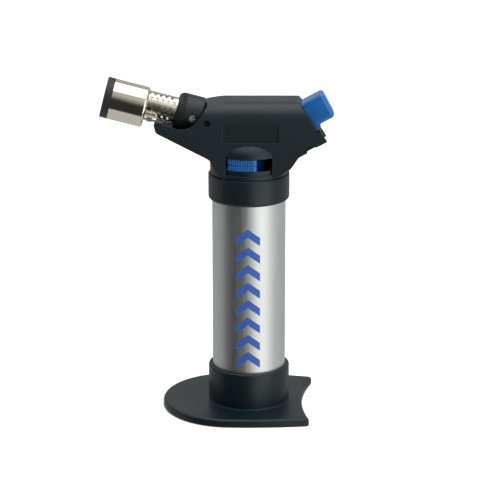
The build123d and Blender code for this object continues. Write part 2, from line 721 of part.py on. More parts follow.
def make_valve_lever():
    """A bell-crank: the carriage's nose presses the right arm and the fork lifts the stem."""
    pivot_x, pivot_h = LEVER_PIVOT
    flange, _ = stem_levels()
    fork_top = flange - HEAD_Z - 0.3
    arm_points = [
        (pivot_x, pivot_h + 1.0),
        (12.0, pivot_h + 1.7),
        (21.6, pivot_h + 4.0),
        (22.2, pivot_h + 2.2),
        (12.0, pivot_h - 0.9),
        (pivot_x, pivot_h - 1.6),
    ]
    fork_points = [
        (7.0, fork_top + 0.4),
        (3.6, fork_top),
        (-3.4, fork_top - 1.5),
        (-3.4, fork_top - 3.0),
        (7.0, pivot_h - 1.6),
    ]
    arm = side_prism([(x, HEAD_Z + h) for x, h in arm_points], 2.8)
    fork = side_prism([(x, HEAD_Z + h) for x, h in fork_points], 4.3)
    gap = STEM_RADIUS + 0.3
    fork -= box((-10, -gap, HEAD_Z), (gap + 1.5, gap, HEAD_Z + 30))
    hub = boss(pivot_x, pivot_h, -LEVER_HUB_HALF_WIDTH, LEVER_HUB_HALF_WIDTH, 2.6)
    return arm + fork + hub - boss(pivot_x, pivot_h, -9, 9, PIN_RADIUS + RUNNING_CLEARANCE)


def make_valve_lever_pin():
    end = HEAD_HALF_WIDTH - HEAD_WALL - 1.1
    return boss(*LEVER_PIVOT, -end, end, PIN_RADIUS)


def make_lock_lever():
    """A finger catch in the guard, turning on its own pin."""
    half = GUARD_HALF_WIDTH - GUARD_WALL - 0.3
    points = [
        (0.9, -12.2),
        (1.3, -16.6),
        (-4.3, -16.6),
        (-4.4, -17.7),
        (-5.5, -17.7),
        (-5.7, -16.2),
        (-8.4, -16.2),
        (-8.4, -14.6),
        (-2.2, -14.2),
        (-1.6, -12.2),
    ]
    lever = trigger_prism(points, half, [0.4, 1.0, 0.3, 0.3, 0.3, 0.2, 0.4, 0.6, 1.0, 0.4])
    x, z = trigger_point(*LOCK_PIVOT)
    return lever - cross_pin(x, z, PIN_RADIUS - 0.1 + RUNNING_CLEARANCE, -9, 9)


def make_lock_pin():
    x, z = trigger_point(*LOCK_PIVOT)
    end = GUARD_HALF_WIDTH - 0.9
    return cross_pin(x, z, PIN_RADIUS - 0.1, -end, end)


# ---------------------------------------------------------------- gas line and burner


def make_gas_tube():
    """The nylon hose: its straight end slides on the valve stem, and it turns to the jet."""
    _, stem_top = stem_levels()
    start = stem_top - 1.0
    crossing = NOZZLE_X / RUN
    corner = nozzle_point(crossing)
    path = FilletPolyline((0, 0, start), corner, nozzle_point(JET_BACK), radius=HOSE_BEND)
    outer = sweep(Pos(0, 0, start) * Circle(HOSE_RADIUS), path=path)
    inner = sweep(Pos(0, 0, start) * Circle(STEM_BORE + 0.02), path=path)
    return outer - inner


def make_jet_holder():
    body = rod(4.2, JET_BACK, -8.0) + rod(MIXER_RADIUS - MIXER_WALL - 0.05, -8.5, -5.5)
    body += rod(STEM_RADIUS, JET_BACK - 3.0, JET_BACK + 1)
    body -= rod(0.6, JET_BACK - 4, -6.5)
    return NOZZLE * (body - rod(0.25, -7, -5))


def air_holes(radius, inner, outer):
    """The air ports, on the nozzle's axis, from one distance out to another."""
    holes = []
    for angle in AIR_HOLE_ANGLES:
        hole = Rot(0, 90, 0) * rod(radius, inner, outer)
        holes.append(Rot(0, 0, angle) * Pos(0, 0, AIR_HOLE_ALONG) * hole)
    return Part() + holes


def make_mixing_tube():
    pipe = tube(MIXER_RADIUS, MIXER_RADIUS - MIXER_WALL, -8.0, 33.0)
    return NOZZLE * (pipe - air_holes(AIR_HOLE_RADIUS, MIXER_RADIUS - 2, MIXER_RADIUS + 2))


def electrode_drop():
    """How far the electrode runs under the burner's axis, just clear of the burner tube."""
    return BURNER_RADIUS + ELECTRODE_RADIUS + 0.05


def make_burner_base():
    """Brass body: flange behind the end wall, collar that carries the ring, seat for the tube."""
    body = rod(BURNER_FLANGE, -5.0, -END_WALL - 0.05) + rod(SPIGOT_RADIUS, -END_WALL - 1, 0.5)
    collar_start = RING_GAP + RING_OVERHANG
    body += rod(SPIGOT_RADIUS, 0, collar_start + 0.1)
    body += rod(COLLAR_SEAT - RUNNING_CLEARANCE, collar_start, BASE_COLLAR_END)
    body += rod(BURNER_RADIUS - BURNER_WALL - 0.03, BASE_COLLAR_END - 1, BASE_COLLAR_END + 3)
    body -= rod(MIXER_RADIUS + RUNNING_CLEARANCE, -10, 30)
    body -= air_holes(AIR_HOLE_RADIUS + 0.1, MIXER_RADIUS - 2, CUT)
    body -= Pos(-electrode_drop(), 0, 0) * rod(ELECTRODE_RADIUS + 0.04, -10, 30)
    body -= screw_on_ring(1.0, 0, 20)
    body = NOZZLE * body
    x, h = BURNER_SCREW
    return body - boss(x, h, -20, -MIXER_RADIUS - 0.4, SCREW_RADIUS + 0.02)


def screw_on_ring(radius, low, high):
    """A cylinder square to the nozzle's axis, at the place of the ring's screw."""
    return Pos(0, 0, 5.5) * Rot(92, 0, 0) * Pos(0, 0, low) * Cylinder(radius, high - low, align=BASE)


def make_air_ring():
    rear = RING_GAP
    front = RING_GAP + RING_LENGTH
    ring = rod(RING_RADIUS, rear, front)
    ring = fillet(ring.faces().sort_by(Axis.Z)[-1].edges(), 3.6)
    ring = fillet(ring.faces().sort_by(Axis.Z)[0].edges(), 1.0)
    ring -= rod(COLLAR_SEAT, rear - 1, front + 1)
    groove = box(
        (RING_RADIUS - KNURL_DEPTH, -KNURL_WIDTH / 2, front - KNURL_LENGTH),
        (CUT, KNURL_WIDTH / 2, front + 1),
    )
    ring -= [Rot(0, 0, rib * 360 / RING_RIBS) * groove for rib in range(RING_RIBS)]
    for angle in range(0, int(RING_TURN_DEG) + 1, 4):
        ring -= Rot(0, 0, -angle) * screw_on_ring(1.15, 0, 20)
        ring -= Rot(0, 0, -angle) * screw_on_ring(2.15, RING_RADIUS - 0.9, 20)
    return NOZZLE * (ring - air_holes(AIR_HOLE_RADIUS + 0.1, COLLAR_SEAT - 1, CUT))


def make_ring_screw():
    seat = RING_RADIUS - 0.8
    screw = screw_on_ring(0.98, MIXER_RADIUS + 0.8, seat + 0.2) + screw_on_ring(2.0, seat, seat + 1.0)
    slot = Pos(0, 0, 5.5) * Rot(92, 0, 0) * box((-0.22, -1.3, seat + 0.5), (0.22, 1.3, seat + 2))
    cross = Pos(0, 0, 5.5) * Rot(92, 0, 0) * box((-1.3, -0.22, seat + 0.5), (1.3, 0.22, seat + 2))
    return NOZZLE * (screw - slot - cross)


def make_burner_tube():
    pipe = tube(BURNER_RADIUS, BURNER_RADIUS - BURNER_WALL, BASE_COLLAR_END, BURNER_END)
    first = RING_GAP + RING_LENGTH + 1.5
    holes = []
    for row in range(HOLE_ROWS):
        angle = 360 * row / HOLE_ROWS
        shift = HOLE_PITCH / 2 * (row % 2)
        for column in range(HOLE_COLUMNS):
            along = first + shift + column * HOLE_PITCH
            hole = Pos(BURNER_RADIUS, 0, along) * Rot(0, 90, 0) * Cylinder(HOLE_RADIUS, 2)
            holes.append(Rot(0, 0, angle) * hole)
    return NOZZLE * (pipe - holes)


def make_flame_holder():
    disc = rod(BURNER_RADIUS - BURNER_WALL - 0.02, 33.0, 35.0)
    holes = [rod(1.2, 30, 40)]
    for turn in range(8):
        holes.append(Rot(0, 0, turn * 45) * Pos(3.9, 0, 0) * rod(0.9, 30, 40))
    return NOZZLE * (disc - holes)


def make_cowl():
    chrome = COWL_LENGTH - FRONT_RING_LENGTH
    outer = rod(COWL_RADIUS, 0, chrome)
    outer = fillet(outer.faces().sort_by(Axis.Z)[0].edges(), COWL_ROUND)
    inner = rod(COWL_RADIUS - COWL_WALL, COWL_WALL, chrome + 1)
    inner = fillet(inner.faces().sort_by(Axis.Z)[0].edges(), COWL_ROUND - COWL_WALL)
    shell = outer - inner
    shell -= Pos(COWL_DROP, 0, 0) * rod(BURNER_RADIUS + 0.02, -1, 3)
    shell -= Pos(COWL_DROP - ELECTRODE_CLIP_DROP, 0, 0) * rod(ELECTRODE_RADIUS + 0.5, -1, 3)
    return COWL_AXIS * shell


def make_cowl_front_ring():
    start = COWL_LENGTH - FRONT_RING_LENGTH
    ring = rod(COWL_RADIUS, start, COWL_LENGTH)
    ring = fillet(ring.faces().sort_by(Axis.Z)[-1].edges(), 0.5)
    ring += rod(COWL_RADIUS - COWL_WALL - 0.03, start - 2, start + 1)
    return COWL_AXIS * (ring - rod(COWL_RADIUS - COWL_WALL - 0.7, 0, COWL_LENGTH + 1))


def make_electrode():
    drop = -electrode_drop()
    points = [
        nozzle_point(-10, drop),
        nozzle_point(15.8, drop),
        nozzle_point(20.0, -ELECTRODE_CLIP_DROP),
        nozzle_point(38.0, -ELECTRODE_CLIP_DROP),
        nozzle_point(42.5, -5.5),
    ]
    path = FilletPolyline(*points, radius=[2.5, 2.5, 2.0])
    section = Plane(origin=path @ 0, z_dir=path % 0) * Circle(ELECTRODE_RADIUS)
    return sweep(section, path=path)


def make_electrode_insulator():
    ceramic = tube(1.5, ELECTRODE_RADIUS + 0.02, -9.0, 0.0)
    return NOZZLE * Pos(-electrode_drop(), 0, 0) * ceramic


def make_electrode_clip():
    """A folded strip under the burner tube that holds the electrode and the cowl in line."""
    inner = BURNER_RADIUS + 0.05
    strip = tube(inner + 0.45, inner, 24.6, COWL_START - 0.05)
    strip &= box((-CUT, -5.8, 0), (0, 5.8, CUT))
    loop = Pos(-ELECTRODE_CLIP_DROP, 0, 0) * tube(1.25, ELECTRODE_RADIUS + 0.03, 26.0, 29.0)
    return NOZZLE * (strip + loop - rod(inner, 0, 50))


def make_ignition_lead():
    """The insulated wire from the piezo's side to the electrode's inner end."""
    x0, _, z0 = nozzle_point(-10, -electrode_drop())
    x1, _, z1 = nozzle_point(-14.5, -electrode_drop())
    piezo_x, piezo_z = trigger_point(-23.6, 4.0)
    points = [
        (x0, 0, z0),
        (x1, 0, z1),
        (-7.5, -6.2, z1 - 0.4),
        (1.5, -7.0, z1 + 1.4),
        (piezo_x, -7.0, piezo_z),
        (piezo_x, -3.5, piezo_z),
    ]
    path = FilletPolyline(*points, radius=[3.0, 4.0, 3.5, 1.6])
    section = Plane(origin=path @ 0, z_dir=path % 0) * Circle(0.75)
    return sweep(section, path=path)


PIECES = {
    "foot": make_foot,
    "tank_sleeve": make_tank_sleeve,
    "fuel_tank": make_fuel_tank,
    "tank_bottom_cap": make_tank_bottom_cap,
    "tank_seal": make_tank_seal,
    "wick": make_wick,
    "refill_valve_body": make_refill_valve_body,
    "refill_stem": make_refill_stem,
    "refill_spring": make_refill_spring,
    "refill_seal": make_refill_seal,
    "tank_retainer": make_tank_retainer,
    "upper_collar": make_upper_collar,
    "gas_valve_body": make_gas_valve_body,
    "valve_stem": make_valve_stem,
    "valve_seat_seal": make_valve_seat_seal,
    "valve_spring": make_valve_spring,
    "valve_oring": make_valve_oring,
    "regulator_sleeve": make_regulator_sleeve,
    "flame_lever": make_flame_lever,
    "housing_left": lambda: make_housing_half(-1),
    "housing_right": lambda: make_housing_half(1),
    "housing_screws": make_housing_screws,
    "burner_screw": make_burner_screw,
    "trigger_button": make_trigger_button,
    "trigger_carriage": make_trigger_carriage,
    "trigger_spring": make_trigger_spring,
    "piezo_body": make_piezo_body,
    "piezo_plunger": make_piezo_plunger,
    "valve_lever": make_valve_lever,
    "valve_lever_pin": make_valve_lever_pin,
    "lock_lever": make_lock_lever,
    "lock_pin": make_lock_pin,
    "gas_tube": make_gas_tube,
    "jet_holder": make_jet_holder,
    "mixing_tube": make_mixing_tube,
    "burner_base": make_burner_base,
    "burner_tube": make_burner_tube,
    "flame_holder": make_flame_holder,
    "cowl": make_cowl,
    "cowl_front_ring": make_cowl_front_ring,
    "air_ring": make_air_ring,
    "ring_screw": make_ring_screw,
    "electrode": make_electrode,
    "electrode_insulator": make_electrode_insulator,
    "electrode_clip": make_electrode_clip,
    "ignition_lead": make_ignition_lead,
}

os.makedirs("parts", exist_ok=True)
for name, make in PIECES.items():
    piece = make()
    export_step(piece, f"parts/{name}.step")
    print(f"{name}: {piece.volume:.1f} mm3, {len(piece.solids())} solid(s)")
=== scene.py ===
import math

import bmesh
import bpy
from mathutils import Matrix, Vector


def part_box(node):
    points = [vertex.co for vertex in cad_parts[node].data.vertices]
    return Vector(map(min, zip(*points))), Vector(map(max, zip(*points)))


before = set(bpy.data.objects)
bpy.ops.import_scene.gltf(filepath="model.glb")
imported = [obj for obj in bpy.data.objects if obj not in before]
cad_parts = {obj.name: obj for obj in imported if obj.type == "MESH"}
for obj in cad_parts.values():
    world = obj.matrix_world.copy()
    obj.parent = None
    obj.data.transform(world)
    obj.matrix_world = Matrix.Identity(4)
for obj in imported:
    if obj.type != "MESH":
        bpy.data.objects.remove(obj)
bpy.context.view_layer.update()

# ------------------------------------------------------------------ camera
# The torch stands with its nozzle to the left, seen from its left side and a little from above,
# through a long lens about a metre away.
VIEW_DOWN = math.radians(16.68)
VIEW_DISTANCE = 1.1
VIEW_TARGET = Vector((0.0006, 0.0, 0.0895))

camera = bpy.data.objects.new("camera", bpy.data.cameras.new("camera"))
camera.data.lens = 144.9
camera.data.sensor_width = 36.0
camera.data.clip_start = 0.01
towards_camera = Vector((0.0, -math.cos(VIEW_DOWN), math.sin(VIEW_DOWN)))
camera.location = VIEW_TARGET + VIEW_DISTANCE * towards_camera
camera.rotation_euler = (math.pi / 2 - VIEW_DOWN, 0.0, 0.0)
bpy.context.scene.collection.objects.link(camera)
bpy.context.scene.camera = camera
bpy.context.scene.view_settings.view_transform = "Standard"


# ------------------------------------------------------------------ studio
# A white table in a white tent with a bright ceiling. In front of the nozzle the tent is open to a
# dark room, which gives polished metal its black band.
MM = 0.001
FLOOR_HALF_WIDTH = 4.0


def add(tree, kind, settings=None, links=None):
    """Adds one node. A link is another node's socket, or a plain value for the input."""
    made = tree.nodes.new(kind)
    for name, value in (settings or {}).items():
        setattr(made, name, value)
    for name, value in (links or {}).items():
        if isinstance(value, bpy.types.NodeSocket):
            tree.links.new(value, made.inputs[name])
        else:
            made.inputs[name].default_value = value
    return made


def colour(hex_code):
    """Linear RGBA of an sRGB hex colour such as 'C8C8C8'."""
    channels = [int(hex_code[i : i + 2], 16) / 255 for i in (0, 2, 4)]
    linear = [c / 12.92 if c <= 0.04045 else ((c + 0.055) / 1.055) ** 2.4 for c in channels]
    return (*linear, 1.0)


def new_material(name):
    """A material with a Principled shader, its tree, and the object coordinates in metres."""
    material = bpy.data.materials.new(name)
    material.use_nodes = True
    tree = material.node_tree
    shader = tree.nodes["Principled BSDF"]
    place = add(tree, "ShaderNodeTexCoord").outputs["Object"]
    return material, tree, shader, place


paper, tree, shader, place = new_material("matt_white_paper")
grain = add(tree, "ShaderNodeTexNoise", links={"Vector": place, "Scale": 900.0, "Detail": 2.0})
shade = add(
    tree,
    "ShaderNodeMix",
    {"data_type": "RGBA"},
    {0: grain.outputs["Fac"], 6: colour("F0F0EF"), 7: colour("F6F6F5")},
)
tree.links.new(shade.outputs[2], shader.inputs["Base Color"])
shader.inputs["Roughness"].default_value = 1.0
shader.inputs["Specular IOR Level"].default_value = 0.0
shader.inputs["Emission Color"].default_value = colour("FAFAFA")
shader.inputs["Emission Strength"].default_value = 0.34
sheet = bmesh.new()
bmesh.ops.create_grid(sheet, x_segments=1, y_segments=1, size=FLOOR_HALF_WIDTH)
floor = bpy.data.objects.new("floor", bpy.data.meshes.new("floor"))
sheet.to_mesh(floor.data)
sheet.free()
floor.data.materials.append(paper)
floor.visible_glossy = False
bpy.context.scene.collection.objects.link(floor)

# The tent as polished metal sees it, by direction: grey walls, a bright panel to the front right, a
# dark opening to the front left, a bright ceiling and a bright table top. The eye sees it white.
TENT_WALL = 0.5
TENT_CEILING = 2.6
TENT_TABLE = 0.6
TENT_PANEL = 1.75
TENT_OPENING = 0.035

world = bpy.data.worlds.new("white_tent")
world.use_nodes = True
tree = world.node_tree
sky = add(tree, "ShaderNodeTexCoord").outputs["Generated"]
axes = add(tree, "ShaderNodeSeparateXYZ", links={"Vector": sky})
front = add(tree, "ShaderNodeMath", {"operation": "MULTIPLY"}, {0: axes.outputs["Y"], 1: -1.0})
azimuth = add(
    tree,
    "ShaderNodeMath",
    {"operation": "ARCTAN2"},
    {0: axes.outputs["X"], 1: front.outputs[0]},
).outputs[0]
height = add(tree, "ShaderNodeMath", {"operation": "ARCSINE"}, {0: axes.outputs["Z"]}).outputs[0]


def between(value, low_degrees, high_degrees, blur_degrees):
    """One inside a range of angles, fading to nought over a blur on each side."""
    middle = math.radians((low_degrees + high_degrees) / 2)
    half = math.radians((high_degrees - low_degrees) / 2)
    blur = math.radians(blur_degrees)
    off = add(tree, "ShaderNodeMath", {"operation": "SUBTRACT"}, {0: value, 1: middle})
    away = add(tree, "ShaderNodeMath", {"operation": "ABSOLUTE"}, {0: off.outputs[0]})
    limits = {"Value": away.outputs[0], 1: half - blur, 2: half + blur, 3: 1.0, 4: 0.0}
    return add(tree, "ShaderNodeMapRange", {"interpolation_type": "SMOOTHSTEP"}, limits).outputs["Result"]


def zone(below, level, azimuth_range, height_range, blur):
    """Lays a zone of the given level over what is below it."""
    wide = between(azimuth, *azimuth_range, blur)
    tall = between(height, *height_range, blur)
    both = add(tree, "ShaderNodeMath", {"operation": "MULTIPLY"}, {0: wide, 1: tall})
    return add(
        tree,
        "ShaderNodeMix",
        {"data_type": "FLOAT"},
        {0: both.outputs[0], 2: below, 3: level},
    ).outputs[0]


light = zone(TENT_WALL, TENT_CEILING, (-400, 400), (56, 120), 4)
light = zone(light, TENT_TABLE, (-400, 400), (-120, -44), 4)
light = zone(light, TENT_OPENING, (-80, 6), (-44, 52), 5)
light = zone(light, TENT_PANEL, (16, 64), (-34, 44), 5)
eye = add(tree, "ShaderNodeLightPath").outputs["Is Camera Ray"]
seen = add(tree, "ShaderNodeMix", {"data_type": "FLOAT"}, {0: eye, 2: light, 3: 0.96}).outputs[0]
tree.links.new(seen, tree.nodes["Background"].inputs["Strength"])
tree.nodes["Background"].inputs["Color"].default_value = colour("FBFBFA")
bpy.context.scene.world = world

key = bpy.data.objects.new("key_light", bpy.data.lights.new("key_light", "AREA"))
key.data.shape = "RECTANGLE"
key.data.size = 0.9
key.data.size_y = 0.9
key.data.energy = 4.5
key.location = (0.5, -0.3, 0.95)
key.rotation_euler = (Vector((0.0, 0.0, 0.1)) - key.location).to_track_quat("-Z", "Y").to_euler()
key.visible_glossy = False
bpy.context.scene.collection.objects.link(key)

# ------------------------------------------------------------------ foot
# The foot is one moulding in glass-filled nylon: a D-shaped plate, scooped out on the button's side,
# and a socket that grips the tank. The mould is finely spark-eroded, so the black is satin.
GRAIN = 1 / (0.55 * MM)  # real grain is near 0.1 mm, drawn coarser so that it shows
MOULDED_EDGE = 0.45 * MM


def coat(material, *nodes):
    """Gives CAD nodes their finish."""
    for name in nodes:
        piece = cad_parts[name]
        piece.data.materials.clear()
        piece.data.materials.append(material)


def black_moulding(name, low_hex, high_hex, rough, grain_size, relief):
    """Black moulded plastic: rounded edges that catch the light, with a painted highlight lightening them,
    a fine grain, and faint flow marks.
    """
    material, tree, shader, place = new_material(name)
    grain = add(tree, "ShaderNodeTexNoise", links={"Vector": place, "Scale": grain_size, "Detail": 3.0})
    flow = add(tree, "ShaderNodeTexNoise", links={"Vector": place, "Scale": 35.0, "Detail": 2.0})
    tone = add(
        tree,
        "ShaderNodeMix",
        {"data_type": "RGBA"},
        {0: flow.outputs["Fac"], 6: colour(low_hex), 7: colour(high_hex)},
    )
    rounded = add(tree, "ShaderNodeBevel", {"samples": 6}, {"Radius": MOULDED_EDGE})
    flat = add(tree, "ShaderNodeNewGeometry")
    turn = add(
        tree,
        "ShaderNodeVectorMath",
        {"operation": "DOT_PRODUCT"},
        {0: rounded.outputs["Normal"], 1: flat.outputs["Normal"]},
    )
    # Painted highlight: the base colour is lightened towards 2E383B along edges, where the rounded normal
    # turns away from the flat one.
    edge = add(
        tree,
        "ShaderNodeMapRange",
        links={"Value": turn.outputs["Value"], 1: 0.98, 2: 0.7, 3: 0.0, 4: 0.35},
    )
    painted_edge_highlight = add(
        tree,
        "ShaderNodeMix",
        {"data_type": "RGBA"},
        {0: edge.outputs["Result"], 6: tone.outputs[2], 7: colour("2E383B")},
    )
    tree.links.new(painted_edge_highlight.outputs[2], shader.inputs["Base Color"])
    gloss = add(
        tree,
        "ShaderNodeMapRange",
        links={"Value": flow.outputs["Fac"], 1: 0.3, 2: 0.7, 3: rough - 0.04, 4: rough + 0.05},
    )
    shader.inputs["Specular IOR Level"].default_value = 0.4
    tree.links.new(gloss.outputs["Result"], shader.inputs["Roughness"])
    relief_node = add(
        tree,
        "ShaderNodeBump",
        links={
            "Strength": relief,
            "Distance": 0.05 * MM,
            "Height": grain.outputs["Fac"],
            "Normal": rounded.outputs["Normal"],
        },
    )
    tree.links.new(relief_node.outputs["Normal"], shader.inputs["Normal"])
    return material, tree, shader, place


foot_nylon, *_ = black_moulding("satin_black_nylon", "05161B", "0A1D23", 0.4, GRAIN, 0.3)
coat(foot_nylon, "foot")

# ------------------------------------------------------------------ tank sleeve
# A drawn aluminium tube, brushed lengthwise and clear anodised, with one blue printed column. The
# print is a plain stack of chevrons, screen printed in one colour.
SLEEVE_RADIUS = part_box("tank_sleeve")[1].x
PRINT_MIDDLE = -0.5 * MM  # along the curve, from the side that faces the operator's left
PRINT_HALF_WIDTH = 6.6 * MM
PRINT_LOW = 33 * MM
CHEVRON_PITCH = 9.9 * MM
CHEVRON_STROKE = 0.46
CHEVRON_COUNT = 8
CHEVRON_SLOPE = 0.75

sleeve_metal, tree, shader, place = new_material("brushed_anodised_aluminium")
axes = add(tree, "ShaderNodeSeparateXYZ", links={"Vector": place})
forward = add(tree, "ShaderNodeMath", {"operation": "MULTIPLY"}, {0: axes.outputs["Y"], 1: -1.0})
angle = add(tree, "ShaderNodeMath", {"operation": "ARCTAN2"}, {0: axes.outputs["X"], 1: forward.outputs[0]})
arc = add(
    tree,
    "ShaderNodeMath",
    {"operation": "MULTIPLY_ADD"},
    {0: angle.outputs[0], 1: SLEEVE_RADIUS, 2: -PRINT_MIDDLE},
)
side = add(tree, "ShaderNodeMath", {"operation": "ABSOLUTE"}, {0: arc.outputs[0]})
inside = add(tree, "ShaderNodeMath", {"operation": "LESS_THAN"}, {0: side.outputs[0], 1: PRINT_HALF_WIDTH})
raised = add(
    tree,
    "ShaderNodeMath",
    {"operation": "MULTIPLY_ADD"},
    {0: side.outputs[0], 1: CHEVRON_SLOPE, 2: axes.outputs["Z"]},
)
steps = add(
    tree,
    "ShaderNodeMath",
    {"operation": "MULTIPLY_ADD"},
    {0: raised.outputs[0], 1: 1 / CHEVRON_PITCH, 2: -PRINT_LOW / CHEVRON_PITCH},
)
part = add(tree, "ShaderNodeMath", {"operation": "FRACT"}, {0: steps.outputs[0]})
stroke = add(tree, "ShaderNodeMath", {"operation": "LESS_THAN"}, {0: part.outputs[0], 1: CHEVRON_STROKE})
above = add(tree, "ShaderNodeMath", {"operation": "GREATER_THAN"}, {0: steps.outputs[0], 1: 0.0})
below = add(tree, "ShaderNodeMath", {"operation": "LESS_THAN"}, {0: steps.outputs[0], 1: CHEVRON_COUNT})
column = add(tree, "ShaderNodeMath", {"operation": "MULTIPLY"}, {0: above.outputs[0], 1: below.outputs[0]})
marks = add(tree, "ShaderNodeMath", {"operation": "MULTIPLY"}, {0: stroke.outputs[0], 1: column.outputs[0]})
printed = add(
    tree,
    "ShaderNodeMath",
    {"operation": "MULTIPLY"},
    {0: marks.outputs[0], 1: inside.outputs[0]},
)

stretched = add(tree, "ShaderNodeMapping", links={"Vector": place, "Scale": (1.0, 1.0, 0.02)})
hairline = add(
    tree,
    "ShaderNodeTexNoise",
    links={"Vector": stretched.outputs[0], "Scale": 2500.0, "Detail": 4.0, "Roughness": 0.7},
)
metal = add(
    tree,
    "ShaderNodeMix",
    {"data_type": "RGBA"},
    {0: hairline.outputs["Fac"], 6: colour("C2C6C5"), 7: colour("EEF1EF")},
)
ink = add(
    tree,
    "ShaderNodeMix",
    {"data_type": "RGBA"},
    {0: printed.outputs[0], 6: metal.outputs[2], 7: colour("1B4C9C")},
)
bare = add(tree, "ShaderNodeMath", {"operation": "SUBTRACT"}, {0: 1.0, 1: printed.outputs[0]})
tree.links.new(ink.outputs[2], shader.inputs["Base Color"])
tree.links.new(bare.outputs[0], shader.inputs["Metallic"])
gloss = add(
    tree,
    "ShaderNodeMapRange",
    links={"Value": hairline.outputs["Fac"], 1: 0.3, 2: 0.7, 3: 0.36, 4: 0.5},
)
tree.links.new(gloss.outputs["Result"], shader.inputs["Roughness"])
scratch = add(
    tree,
    "ShaderNodeBump",
    links={"Strength": 0.25, "Distance": 0.02 * MM, "Height": hairline.outputs["Fac"]},
)
tree.links.new(scratch.outputs["Normal"], shader.inputs["Normal"])
shader.inputs["Anisotropic"].default_value = 0.5
coat(sleeve_metal, "tank_sleeve")

# ------------------------------------------------------------------ collar, retainer and bottom cap
# Turned nylon rings: the collar is pressed over the sleeve's top, the retainer under it clamps the
# fuel vessel, and the cap closes the vessel's bottom. Matt black, a little greyer than the head.
collar_nylon, *_ = black_moulding("matt_black_nylon", "05161B", "0A1D23", 0.4, GRAIN, 0.25)
coat(collar_nylon, "upper_collar", "tank_retainer", "tank_bottom_cap", "trigger_carriage")

# ------------------------------------------------------------------ head housing
# Two nylon half shells, screwed together down the middle. The mould's texture is a shade coarser
# than the foot's, and the halves leave a hairline where they meet.
SEAM_HALF_WIDTH = 0.12 * MM
NAMEPLATE_X = (-13.9 * MM, 15.6 * MM)
NAMEPLATE_Z = (153.4 * MM, 163.3 * MM)
NAMEPLATE_FLOOR_Y = 16.62 * MM

head_nylon, tree, shader, place = black_moulding(
    "textured_black_nylon",
    "04161B",
    "081C22",
    0.4,
    GRAIN * 0.8,
    0.4,
)
axes = add(tree, "ShaderNodeSeparateXYZ", links={"Vector": place})
aside = add(tree, "ShaderNodeMath", {"operation": "ABSOLUTE"}, {0: axes.outputs["Y"]})
seam = add(tree, "ShaderNodeMath", {"operation": "LESS_THAN"}, {0: aside.outputs[0], 1: SEAM_HALF_WIDTH})
plate = add(tree, "ShaderNodeMath", {"operation": "LESS_THAN"}, {0: aside.outputs[0], 1: NAMEPLATE_FLOOR_Y})
for axis, (low, high) in (("X", NAMEPLATE_X), ("Z", NAMEPLATE_Z)):
    middle = add(
        tree,
        "ShaderNodeMath",
        {"operation": "SUBTRACT"},
        {0: axes.outputs[axis], 1: (low + high) / 2},
    )
    off = add(tree, "ShaderNodeMath", {"operation": "ABSOLUTE"}, {0: middle.outputs[0]})
    within = add(
        tree,
        "ShaderNodeMath",
        {"operation": "LESS_THAN"},
        {0: off.outputs[0], 1: (high - low) / 2},
    )
    plate = add(
        tree,
        "ShaderNodeMath",
        {"operation": "MULTIPLY"},
        {0: plate.outputs[0], 1: within.outputs[0]},
    )
erosion = add(
    tree,
    "ShaderNodeTexNoise",
    links={"Vector": place, "Scale": 1 / (1.3 * MM), "Detail": 2.0, "Distortion": 0.6},
)
depth = add(
    tree,
    "ShaderNodeMath",
    {"operation": "MULTIPLY"},
    {0: plate.outputs[0], 1: erosion.outputs["Fac"]},
)
relief = add(
    tree,
    "ShaderNodeBump",
    links={
        "Strength": 0.5,
        "Distance": 0.2 * MM,
        "Height": depth.outputs[0],
        "Normal": shader.inputs["Normal"].links[0].from_socket,
    },
)
tree.links.new(relief.outputs["Normal"], shader.inputs["Normal"])
dark = add(tree, "ShaderNodeMath", {"operation": "MAXIMUM"}, {0: seam.outputs[0], 1: plate.outputs[0]})
shaded = add(
    tree,
    "ShaderNodeMix",
    {"data_type": "RGBA"},
    {0: dark.outputs[0], 6: shader.inputs["Base Color"].links[0].from_socket, 7: colour("03141A")},
)
tree.links.new(shaded.outputs[2], shader.inputs["Base Color"])
coat(head_nylon, "housing_left", "housing_right", "lock_lever")

# ------------------------------------------------------------------ fuel vessel, wick and hose
# The vessel and the hose are natural nylon, milky and slightly translucent. The wick is felt.
natural, tree, shader, place = new_material("natural_nylon")
haze = add(tree, "ShaderNodeTexNoise", links={"Vector": place, "Scale": 120.0, "Detail": 3.0})
tone = add(
    tree,
    "ShaderNodeMix",
    {"data_type": "RGBA"},
    {0: haze.outputs["Fac"], 6: colour("DAD4C0"), 7: colour("EAE6D8")},
)
tree.links.new(tone.outputs[2], shader.inputs["Base Color"])
shader.inputs["Roughness"].default_value = 0.4
shader.inputs["Subsurface Weight"].default_value = 0.2
shader.inputs["Subsurface Scale"].default_value = 1.0 * MM
coat(natural, "fuel_tank", "gas_tube")

felt, tree, shader, place = new_material("wool_felt")
fibre = add(
    tree,
    "ShaderNodeTexNoise",
    links={"Vector": place, "Scale": 2500.0, "Detail": 5.0, "Distortion": 1.5},
)
tone = add(
    tree,
    "ShaderNodeMix",
    {"data_type": "RGBA"},
    {0: fibre.outputs["Fac"], 6: colour("B9B3A2"), 7: colour("E0DCCD")},
)
tree.links.new(tone.outputs[2], shader.inputs["Base Color"])
fuzz = add(
    tree,
    "ShaderNodeBump",
    links={"Strength": 0.8, "Distance": 0.2 * MM, "Height": fibre.outputs["Fac"]},
)
tree.links.new(fuzz.outputs["Normal"], shader.inputs["Normal"])
shader.inputs["Roughness"].default_value = 0.95
coat(felt, "wick")

